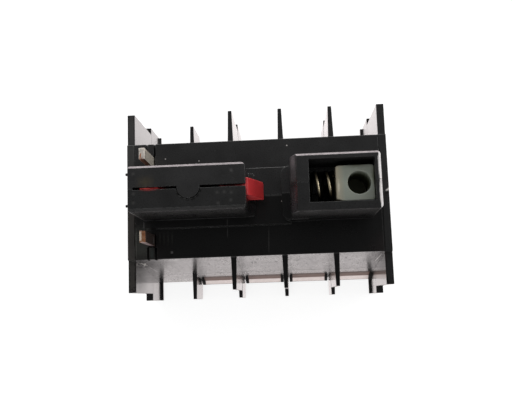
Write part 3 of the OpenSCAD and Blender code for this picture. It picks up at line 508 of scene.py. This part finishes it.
plated_strip.links.new(spots, out["Stain"])
plated_strip.links.new(streak.outputs[0], out["Drag"])


def surface(tree, shader, sheen, low, high, height, strength, distance=0.04 * MM, normal=None,
            start=0.0, end=1.0):
    """Roughness between two levels over a mask, and relief from a height."""
    gloss = ramp(tree, sheen, start, end, low, high)
    tree.links.new(gloss, shader["Roughness"])
    relief = {"Height": height, "Strength": strength, "Distance": distance}
    if normal is not None:
        relief["Normal"] = normal
    tree.links.new(add(tree, "Bump", relief).outputs[0], shader["Normal"])


def coil_blade(name, plating, tin, copper, tarnish, flank, shear, strokes):
    """Tin over copper, with the bare share, flank and sheared edge colours and marks of one blade."""
    made, tree, shader = new_material(name)
    strip = place_group(tree, plated_strip, {"Plating": plating, "Patch Size": 0.9 * MM})
    rub = place_group(tree, rubbed_edges, {"Width": 0.12 * MM, "Break-up": 0.8 * MM})
    facing = add(tree, "SeparateXYZ", {0: add(tree, "NewGeometry").outputs["Normal"]})
    metal = mixed(tree, strip["Bare"], tin, copper)
    for part, paint in (("X", flank), ("Y", shear)):
        sideways = add(tree, "Math", {0: facing.outputs[part]}, operation="ABSOLUTE").outputs[0]
        turned = add(tree, "Math", {0: sideways, 1: 0.8}, operation="GREATER_THAN").outputs[0]
        metal = mixed(tree, turned, metal, paint)
    edged = mixed(tree, times(tree, rub["Mask"], 0.6), metal, (0.8, 0.74, 0.68, 1))
    stained = mixed(tree, times(tree, strip["Stain"], tarnish), edged, (0.07, 0.045, 0.035, 1))
    tree.links.new(marked(tree, stained, strokes)[0], shader["Base Color"])
    surface(tree, shader, strip["Drag"], 0.32, 0.55, strip["Drag"], 0.5, normal=rub["Normal"],
            start=0.3, end=0.7)
    shader["Metallic"].default_value = 0.7
    return made


blade_edge = 0.07 * MM
blade_copper = (0.55, 0.2, 0.09)
white_tin = coil_blade(
    "tinned copper line side", 0.6, (0.95, 0.88, 0.8, 1), (0.8, 0.42, 0.22, 1), 0.6,
    (0.74, 0.68, 0.58, 1), (0.3, 0.13, 0.08, 1),
    [stroke((-18.6, 5.9, 31.6), (-18.45, 7.0, 31.6), 0.3, blade_copper),
     dot((-18.4, 5.9, 31.4), 0.8, (0.4, 0.15, 0.07), 0.3)])
# The load side blade's pinkish sheared edges and its three pale strokes are painted highlights.
red_tin = coil_blade(
    "tinned copper load side", 0.45, (0.5, 0.26, 0.15, 1), (0.46, 0.18, 0.08, 1), 0.5,
    (0.11, 0.08, 0.07, 1), (0.34, 0.26, 0.26, 1),
    [stroke((-18.66, -5.8, 31.6), (-18.66, -7.6, 31.6), 0.5, (1.0, 0.86, 0.72), 0.7),
     stroke((-17.83, -5.9, 24.9), (-17.83, -7.7, 24.9), 0.9, (0.3, 0.28, 0.28), 0.3),
     stroke((-18.6, -7.7, 31.5), (-17.9, -7.75, 31.3), 0.5, (0.6, 0.52, 0.52), 0.3)])
finish_node("coil_terminal_line", white_tin, blade_edge)
finish_node("coil_terminal_load", red_tin, blade_edge)

# The wire clamps: bent steel plates under the screw heads, yellow passivated, that press
# the conductor up against the terminal plate. They show as brown lips in the wire windows.

worn_metal, given, out = new_group(
    "worn metal", [("Size", "NodeSocketFloat", 0.5 * MM)],
    [("Clouds", "NodeSocketFloat"), ("Scratches", "NodeSocketFloat")])
spot = add(worn_metal, "TexCoord").outputs["Object"]
rate = add(worn_metal, "Math", {0: 1.0, 1: given["Size"]}, operation="DIVIDE").outputs[0]
clouds = add(worn_metal, "TexNoise", {"Vector": spot, "Scale": rate, "Detail": 4.0, "Roughness": 0.6})
squeezed = add(worn_metal, "VectorMath", {0: spot, 1: (0.15, 1.0, 1.0)}, operation="MULTIPLY").outputs[0]
lines = add(worn_metal, "TexNoise", {"Vector": squeezed, "Scale": 9000.0, "Detail": 2.0})
worn_metal.links.new(clouds.outputs[0], out["Clouds"])
worn_metal.links.new(lines.outputs[0], out["Scratches"])


def metal_finish(name, pale, dark, low, high, size=0.6 * MM):
    """Metal between two colours, with the roughness between two levels and fine drawn lines."""
    made, tree, shader = new_material(name)
    wear = place_group(tree, worn_metal, {"Size": size})
    spread = ramp(tree, wear["Clouds"], 0.35, 0.65)
    tree.links.new(mixed(tree, spread, dark, pale), shader["Base Color"])
    surface(tree, shader, wear["Scratches"], low, high, wear["Scratches"], 0.25, 0.02 * MM,
            start=0.3, end=0.7)
    shader["Metallic"].default_value = 1.0
    return made


passivated = metal_finish("yellow passivated steel", (0.5, 0.36, 0.3, 1), (0.3, 0.2, 0.16, 1), 0.35, 0.55)
columns = ["coil", "1", "2", "3", "4"]
sides = ["line", "load"]
for side in sides:
    finish_node(f"wire_clamp_coil_{side}", passivated, 0.06 * MM)

lip_steel, tree, shader = new_material("scorched clamp lip")
wear = place_group(tree, worn_metal, {"Size": 0.9 * MM})
position = position_in(tree)
outward = add(tree, "Math", {0: position["Y"]}, operation="ABSOLUTE").outputs[0]
flare = ramp(tree, outward, 13.22 * MM, 13.34 * MM)
shaded = ramp(tree, position["Z"], 3.6 * MM, 4.9 * MM)
brown = mixed(tree, wear["Clouds"], (0.24, 0.145, 0.12, 1), (0.38, 0.25, 0.215, 1))
upper = mixed(tree, times(tree, shaded, 0.8), brown, (0.03, 0.02, 0.018, 1))
bright = mixed(tree, wear["Clouds"], (0.6, 0.54, 0.52, 1), (0.86, 0.81, 0.79, 1))
tree.links.new(mixed(tree, flare, upper, bright), shader["Base Color"])
tree.links.new(flare, shader["Metallic"])
surface(tree, shader, wear["Scratches"], 0.25, 0.45, wear["Scratches"], 0.25, 0.02 * MM)
shader["Specular IOR Level"].default_value = 0.1


def extruded(made, outline, x0, x1, mirror):
    """Adds a bar along X to a mesh, with its outline in Y and Z given in millimetres."""
    ends = [[made.verts.new(Vector((x, mirror * y, z)) * MM) for y, z in outline] for x in (x0, x1)]
    for k in range(len(outline)):
        n = (k + 1) % len(outline)
        made.faces.new((ends[0][k], ends[0][n], ends[1][n], ends[1][k]))
    made.faces.new(list(reversed(ends[0])))
    made.faces.new(ends[1])


def moulded_piece(name, made, material, edge_width, body="housing"):
    """Object from a mesh, with softened edges, riding on a body."""
    bmesh.ops.recalc_face_normals(made, faces=made.faces)
    data = bpy.data.meshes.new(name)
    made.to_mesh(data)
    made.free()
    piece = bpy.data.objects.new(name, data)
    bpy.context.scene.collection.objects.link(piece)
    piece.data.materials.append(material)
    soften = piece.modifiers.new("soft edges", "BEVEL")
    soften.width = edge_width
    soften.segments = 2
    soften.limit_method = "ANGLE"
    soften.angle_limit = math.radians(30)
    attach(piece, body)
    return piece


def wire_hole(piece, place, radius):
    """Round hole for the screw, cut into the mesh."""
    bpy.ops.mesh.primitive_cylinder_add(radius=radius, depth=4 * MM, location=place, vertices=32)
    cutter = bpy.context.object
    cut = piece.modifiers.new("screw hole", "BOOLEAN")
    cut.object = cutter
    cut.solver = "EXACT"
    bpy.context.view_layer.update()
    shape = bpy.data.meshes.new_from_object(piece.evaluated_get(bpy.context.evaluated_depsgraph_get()))
    piece.modifiers.remove(cut)
    piece.data = shape
    bpy.data.objects.remove(cutter)


screw_y = 8.2
clamp_hole_r = 1.6
clamp_middle_z = 2.7
plate_outline = [(5.8, 2.3), (12.0, 2.3), (12.0, 3.1), (5.8, 3.1)]
lip_outline = [(11.9, 1.4), (13.0, 1.3), (13.98, 1.2), (13.98, 1.3), (13.28, 2.25), (12.54, 4.9),
               (11.9, 4.9)]
for column in columns[1:]:
    for side, mirror in (("line", 1), ("load", -1)):
        node = f"wire_clamp_{column}_{side}"
        low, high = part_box(node)
        made = bmesh.new()
        for outline in (plate_outline, lip_outline):
            extruded(made, outline, low.x / MM, high.x / MM, mirror)
        clamp = moulded_piece(f"{node}_bent", made, lip_steel, 0.1 * MM)
        hole_place = Vector(((low.x + high.x) / 2, mirror * screw_y * MM, clamp_middle_z * MM))
        wire_hole(clamp, hole_place, clamp_hole_r * MM)
        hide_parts(node)

# The window frames: black moulded jambs and a sill round each wire window of the contact
# columns, which stand a little out of the wall and carry the clamp's flared lip.

frame_black, tree, shader = new_material("matt black frame")
grain = place_group(tree, mould_grain, {"Grain Size": 0.2 * MM, "Patch Size": 2 * MM})
tree.links.new(mixed(tree, grain["Patches"], (0.004, 0.004, 0.004, 1), (0.012, 0.011, 0.011, 1)),
               shader["Base Color"])
surface(tree, shader, grain["Patches"], 0.6, 0.8, grain["Height"], 0.3)
shader["Specular IOR Level"].default_value = 0.2
jamb_outline = [(12.4, 0.02), (14.0, 0.02), (14.05, 0.3), (14.05, 1.6), (13.5, 2.9), (12.6, 4.2),
                (12.4, 4.2)]
jamb_width, jamb_gap, sill_reach = 0.53, 0.02, 0.1
sill_outline = [(12.7, 0.02), (13.95, 0.02), (14.0, 0.2), (14.0, 1.0), (13.8, 1.18), (12.7, 1.18)]
for side, mirror in (("line", 1), ("load", -1)):
    made = bmesh.new()
    for column in columns[1:]:
        node_low, node_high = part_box(f"wire_clamp_{column}_{side}")
        x0, x1 = node_low.x / MM, node_high.x / MM
        extruded(made, sill_outline, x0 - sill_reach, x1 + sill_reach, mirror)
        extruded(made, jamb_outline, x0 - jamb_gap - jamb_width, x0 - jamb_gap, mirror)
        extruded(made, jamb_outline, x1 + jamb_gap, x1 + jamb_gap + jamb_width, mirror)
    moulded_piece(f"window_frames_{side}", made, frame_black, 0.08 * MM)

# The terminal screws: zinc-plated steel, head down in the screw face, with a cross slot and
# a rolled thread through the terminal plate. All ten are alike, and a clamp sits under each.


def screw_mesh(body, place, top, head_r, head_h, shank_r):
    """Screw standing on its head at place, with domed rim, cross slot and thread up to top."""
    around = 40
    thread_pitch = 0.6 * MM
    thread_depth = 0.24 * MM
    rim = 0.16 * MM
    shank_h = top - place.z
    rings = [(0.0, 0.0), (head_r - 2.2 * rim, 0.0), (head_r - rim, 0.3 * rim), (head_r, 1.2 * rim),
             (head_r, head_h - 0.3 * rim), (head_r - 0.3 * rim, head_h), (shank_r, head_h)]
    steps = 64
    made = bmesh.new()
    loops = []
    for radius, z in rings[1:]:
        loops.append([made.verts.new((radius * math.cos(2 * math.pi * k / around),
                                      radius * math.sin(2 * math.pi * k / around), z))
                      for k in range(around)])
    for step in range(1, steps + 1):
        loop = []
        for k in range(around):
            z = head_h + (shank_h - head_h) * step / steps
            wave = abs(((z / thread_pitch - k / around) % 1) * 2 - 1)
            fade = min(1, (shank_h - z) / thread_pitch + 0.35)
            radius = (shank_r - thread_depth * wave) * (0.86 + 0.14 * fade)
            loop.append(made.verts.new((radius * math.cos(2 * math.pi * k / around),
                                        radius * math.sin(2 * math.pi * k / around), z)))
        loops.append(loop)
    for lower, upper in zip(loops, loops[1:]):
        for k in range(around):
            n = (k + 1) % around
            made.faces.new((lower[k], lower[n], upper[n], upper[k]))
    made.faces.new(list(reversed(loops[0])))
    made.faces.new(loops[-1])
    bmesh.ops.translate(made, verts=made.verts, vec=place)
    data = bpy.data.meshes.new("screw")
    made.to_mesh(data)
    made.free()
    screw = bpy.data.objects.new("screw", data)
    bpy.context.scene.collection.objects.link(screw)
    cutters = []
    for turn in (0, 90):
        bpy.ops.mesh.primitive_cube_add(size=1, location=place)
        cutter = bpy.context.object
        cutter.scale = (1.4 * head_r, 0.6 * MM, 1.6 * MM)
        cutter.rotation_euler = (0, 0, math.radians(turn))
        cutters.append(cutter)
        cut = screw.modifiers.new("cross slot", "BOOLEAN")
        cut.object = cutter
        cut.solver = "EXACT"
    bpy.context.view_layer.update()
    shape = bpy.data.meshes.new_from_object(screw.evaluated_get(bpy.context.evaluated_depsgraph_get()))
    body.from_mesh(shape)
    for left in [screw, *cutters]:
        bpy.data.objects.remove(left)


low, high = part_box("terminal_screws")
head_r = 2.4 * MM
head_h = 1.6 * MM
shank_r = 1.45 * MM
all_screws = bmesh.new()
for column in range(5):
    x = low.x + head_r + (high.x - low.x - 2 * head_r) * column / 4
    for y in (low.y + head_r, high.y - head_r):
        screw_mesh(all_screws, Vector((x, y, low.z)), high.z, head_r, head_h, shank_r)
screw_data = bpy.data.meshes.new("terminal_screws_threaded")
all_screws.to_mesh(screw_data)
all_screws.free()
screws = bpy.data.objects.new("terminal_screws_threaded", screw_data)
bpy.context.scene.collection.objects.link(screws)
for face in screw_data.polygons:
    face.use_smooth = True
screws.modifiers.new("even shading", "WEIGHTED_NORMAL")
zinc = metal_finish("zinc plated steel", (0.72, 0.7, 0.66, 1), (0.5, 0.48, 0.44, 1), 0.28, 0.45)
screws.data.materials.append(zinc)
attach(screws, "housing")
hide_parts("terminal_screws")

# The fixed contacts: brass terminal plates with an upturned tab in each of the four contact
# columns, and a silver rivet swaged into each tab, facing the moving bridge.

brass = metal_finish("stamped brass", (0.78, 0.58, 0.3, 1), (0.55, 0.38, 0.18, 1), 0.28, 0.42)
silver = metal_finish("contact silver", (0.86, 0.85, 0.82, 1), (0.55, 0.53, 0.5, 1), 0.25, 0.4, 0.3 * MM)
for column in columns[1:]:
    for side in sides:
        finish_node(f"fixed_contact_{column}_{side}", brass, 0.06 * MM)
finish_node("fixed_contact_rivets", silver, 0.08 * MM)

# The moving contacts: a copper-alloy bridge in each window of the carrier, pressed to its
# side of the window by a small coil spring, with a silver rivet near each end.

bronze = metal_finish("bridge bronze", (0.72, 0.45, 0.28, 1), (0.5, 0.28, 0.16, 1), 0.28, 0.42)
spring_wire = metal_finish("bright spring wire", (0.66, 0.65, 0.62, 1), (0.42, 0.41, 0.4, 1), 0.2, 0.34)
for column in columns[1:]:
    finish_node(f"contact_bridge_{column}", bronze, 0.06 * MM)
finish_node("bridge_rivets", silver, 0.08 * MM)


def wound_wire(name, place, length, mean_r, wire_r, turns, dead, start, body):
    """Compression spring wound along X from place, with closed turns at both ends."""
    around = 12
    per_turn = 36
    steps = int(turns * per_turn)
    made = bmesh.new()
    loops = []
    for i in range(steps + 1):
        t = turns * i / steps
        angle = math.radians(start) + 2 * math.pi * t
        share = min(max((t - dead) / (turns - 2 * dead), 0), 1)
        x = place.x + wire_r + (length - 2 * wire_r) * share
        loop = []
        for k in range(around):
            b = 2 * math.pi * k / around
            radius = mean_r + wire_r * math.cos(b)
            loop.append(made.verts.new((x + wire_r * math.sin(b), place.y + radius * math.cos(angle),
                                        place.z + radius * math.sin(angle))))
        loops.append(loop)
    for first, second in zip(loops, loops[1:]):
        for k in range(around):
            n = (k + 1) % around
            made.faces.new((first[k], second[k], second[n], first[n]))
    made.faces.new(loops[0])
    made.faces.new(list(reversed(loops[-1])))
    bmesh.ops.recalc_face_normals(made, faces=made.faces)
    data = bpy.data.meshes.new(name)
    made.to_mesh(data)
    made.free()
    for face in data.polygons:
        face.use_smooth = True
    spring = bpy.data.objects.new(name, data)
    bpy.context.scene.collection.objects.link(spring)
    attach(spring, body)
    return spring


contact_wire_r = 0.15 * MM
contact_coil_r = 1.25 * MM
contact_turns = 3.5
for column in columns[1:]:
    node = f"contact_spring_{column}"
    low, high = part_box(node)
    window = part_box(f"contact_bridge_{column}")
    centre_z = (window[0].z + window[1].z) / 2
    spring = wound_wire(f"{node}_wound", Vector((low.x, 0, centre_z)), high.x - low.x,
                        contact_coil_r, contact_wire_r, contact_turns, 0, 0, "carriage")
    spring.data.materials.append(spring_wire)
    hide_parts(node)

# The carrier: a dark moulded bar that runs under the mating face, with a window for each
# bridge and a socket on top that takes the slider's tongue.

carrier_grey, tree, shader = new_material("dark moulded carrier")
grain = place_group(tree, mould_grain, {"Grain Size": 0.2 * MM, "Patch Size": 5 * MM})
tree.links.new(mixed(tree, grain["Patches"], (0.055, 0.05, 0.047, 1), (0.1, 0.093, 0.085, 1)),
               shader["Base Color"])
surface(tree, shader, grain["Patches"], 0.42, 0.6, grain["Height"], 0.3)
finish_node("contact_carrier", carrier_grey, moulded_edge)

# The latch: a red moulded plate that slides in the slit of its tower, with a bevelled nose
# that snaps behind the contactor's catch. The nose is scuffed pale on its leading edges and
# carries a yellowish smear. Brighter red along the slit is a painted glint, and a dark patch on
# the nose's lower left is a painted shadow. Its small spring sits under the mating face.

red_nylon, tree, shader = new_material("red moulded latch")
grain = place_group(tree, mould_grain, {"Grain Size": 0.22 * MM, "Patch Size": 1.6 * MM})
rub = place_group(tree, rubbed_edges, {"Width": 0.22 * MM, "Break-up": 0.7 * MM})
smear = place_group(tree, scuff_mark, {"Middle": Vector((-0.2, 0.35, 31.6)) * MM, "Along": (0.6, 0.1, -0.8),
                                       "Length": 1.3 * MM, "Width": 0.5 * MM})["Mask"]
red = mixed(tree, grain["Patches"], (0.46, 0.026, 0.03, 1), (0.68, 0.042, 0.046, 1))
scuffed = mixed(tree, times(tree, rub["Mask"], 0.5), red, (0.78, 0.36, 0.36, 1))
smeared = mixed(tree, times(tree, smear, 0.5), scuffed, (0.62, 0.32, 0.12, 1))
red_with_painted_light = marked(tree, smeared, [
    # The first three marks are painted glints: brighter red along the slit.
    stroke((-18.6, 0.15, 36.3), (-14.0, 0.15, 36.3), 1.2, (0.5, 0.04, 0.04), 0.5),
    dot((-16.6, 0.15, 36.4), 1.2, (1.0, 0.12, 0.1), 0.3),
    stroke((-17.7, 0.15, 36.4), (-17.2, 0.15, 36.4), 0.6, (0.7, 0.05, 0.05), 0.3),
    stroke((-5.6, 0.15, 35.9), (-1.9, 0.15, 35.9), 0.8, (0.12, 0.015, 0.018), 0.5),
    # Painted shadow of the tower on the nose's lower left.
    stroke((-1.6, -0.6, 34.9), (-1.1, -1.5, 34.6), 0.6, (0.03, 0.003, 0.004), 0.8)])
tree.links.new(red_with_painted_light[0], shader["Base Color"])
surface(tree, shader, grain["Patches"], 0.3, 0.5, grain["Height"], 0.25, normal=rub["Normal"])
finish_node("latch_slide", red_nylon, 0.09 * MM)

# Two ribs on the latch plate steady it in the slit, where they show red from above.
rib_foot = [(-0.01, 35.0), (0.31, 35.0)]
tall_rib = rib_foot + [(0.31, 36.2), (0.24, 36.38), (0.06, 36.38), (-0.01, 36.2)]
low_rib = rib_foot + [(0.24, 35.9), (0.06, 35.9)]
made = bmesh.new()
extruded(made, tall_rib, -17.65, -14.8, 1)
extruded(made, low_rib, -5.2, -1.6, 1)
moulded_piece("latch_ribs", made, red_nylon, 0.03 * MM, "latch")

low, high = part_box("latch_spring")
latch_wire_r = 0.15 * MM
latch_coil_r = 1.4 * MM
latch_turns = 4.5
latch_y = 0.15 * MM
latch_spring_z = 17 * MM
latch_spring = wound_wire("latch_spring_wound", Vector((low.x, latch_y, latch_spring_z)), high.x - low.x,
                          latch_coil_r, latch_wire_r, latch_turns, 0, 0, "housing")
latch_spring.data.materials.append(spring_wire)
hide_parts("latch_spring")
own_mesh(latch_spring)

# The coupling slider: moulded in ivory acetal that looks grey-green in the black tower. The
# contactor's pin stands in its round bore, and its spring side is paler and creamier. It is
# painted darker and greener deep down, as shade in the bore and the tower, and darker along
# its +Y edge, as shade.

ivory, tree, shader = new_material("ivory acetal")
grain = place_group(tree, mould_grain, {"Grain Size": 0.3 * MM, "Patch Size": 2.5 * MM})
rub = place_group(tree, rubbed_edges, {"Width": 0.2 * MM, "Break-up": 1.2 * MM})
slider_low, slider_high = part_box("coupling_slider")
position = position_in(tree)
cream_side = ramp(tree, position["X"], slider_low.x, slider_low.x + 1.3 * MM, 1.0, 0.0)
# Painted shade: the slider darkens to a dark green-brown towards the bottom, deep in the bore and the
# tower.
depth = ramp(tree, position["Z"], slider_high.z - 4 * MM, slider_high.z - 0.3 * MM, 1.0, 0.0)
grey_green = mixed(tree, grain["Patches"], (0.32, 0.355, 0.30, 1), (0.40, 0.425, 0.365, 1))
creamy = mixed(tree, times(tree, cream_side, 0.85), grey_green, (0.74, 0.65, 0.48, 1))
painted_shade_deep_down = mixed(tree, depth, creamy, (0.1, 0.105, 0.045, 1))
paler = mixed(tree, times(tree, rub["Mask"], 0.4), painted_shade_deep_down, (0.66, 0.68, 0.6, 1))
slider_with_painted_shade = marked(tree, paler, [
    # Painted shade along the slider's +Y edge.
    stroke((13.6, 2.8, 35), (18.8, 2.8, 35), 1.2, (0.17, 0.18, 0.14), 0.2),
    stroke((18.6, 2.8, 35), (18.7, -1.0, 35), 1.0, (0.15, 0.165, 0.1), 0.1),
    stroke((12.75, -2.3, 34.9), (13.5, -2.9, 34.9), 0.5, (0.02, 0.02, 0.015), 0.4),
    stroke((13.15, 0.9, 34.8), (13.15, -1.9, 34.8), 0.5, (0.95, 0.88, 0.72), 0.2)])
tree.links.new(slider_with_painted_shade[0], shader["Base Color"])
surface(tree, shader, grain["Patches"], 0.34, 0.48, grain["Height"], 0.12, normal=rub["Normal"])
shader["Subsurface Weight"].default_value = 0.15
shader["Subsurface Radius"].default_value = (1.0, 0.9, 0.6)
shader["Subsurface Scale"].default_value = 0.6 * MM
finish_node("coupling_slider", ivory, 0.1 * MM)

# The coupling spring: music wire wound with closed ends, painted a bright warm colour only
# along the tops of its windings as a painted highlight, and dark elsewhere as painted shade.
# It sits between the tower's thick wall and the slider.

low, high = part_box("coupling_spring")
coupling_wire_r = 0.225 * MM
coupling_coil_r = 2.6 * MM - coupling_wire_r
coupling_turns = 3.7
coupling_dead_turns = 0.5
coupling_start = 169      # degrees, so that two windings show clear of the slider
coupling_z = 31.9 * MM
coupling_spring = wound_wire("coupling_spring_wound", Vector((low.x, 0, coupling_z)), high.x - low.x,
                             coupling_coil_r, coupling_wire_r, coupling_turns, coupling_dead_turns,
                             coupling_start, "housing")
spring_wire_lit_on_top, tree, shader = new_material("spring wire painted bright on top")
wear = place_group(tree, worn_metal, {"Size": 0.5 * MM})
position = position_in(tree)
# Painted highlight: only the tops of the windings, clear of the pocket and the slider and away from the −Y
# side, get the bright colour; the rest is painted dark as shade.
upper = ramp(tree, position["Z"], coupling_z + 1.0 * MM, coupling_z + 2.1 * MM)
out_of_pocket = ramp(tree, position["X"], low.x + 1.3 * MM, low.x + 1.7 * MM)
off_slider = ramp(tree, position["X"], high.x - 0.9 * MM, high.x - 0.5 * MM, 1.0, 0.0)
rear = ramp(tree, position["Y"], -2.0 * MM, -0.9 * MM)
painted_highlight_mask = times(tree, times(tree, upper, rear), times(tree, out_of_pocket, off_slider))
warm_steel = mixed(tree, wear["Clouds"], (0.72, 0.6, 0.38, 1), (0.92, 0.82, 0.6, 1))
tree.links.new(mixed(tree, painted_highlight_mask, (0.03, 0.024, 0.017, 1), warm_steel), shader["Base Color"])
surface(tree, shader, wear["Clouds"], 0.28, 0.38, wear["Scratches"], 0.02, 0.02 * MM)
shader["Metallic"].default_value = 1.0
coupling_spring.data.materials.append(spring_wire_lit_on_top)
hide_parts("coupling_spring")
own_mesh(coupling_spring)
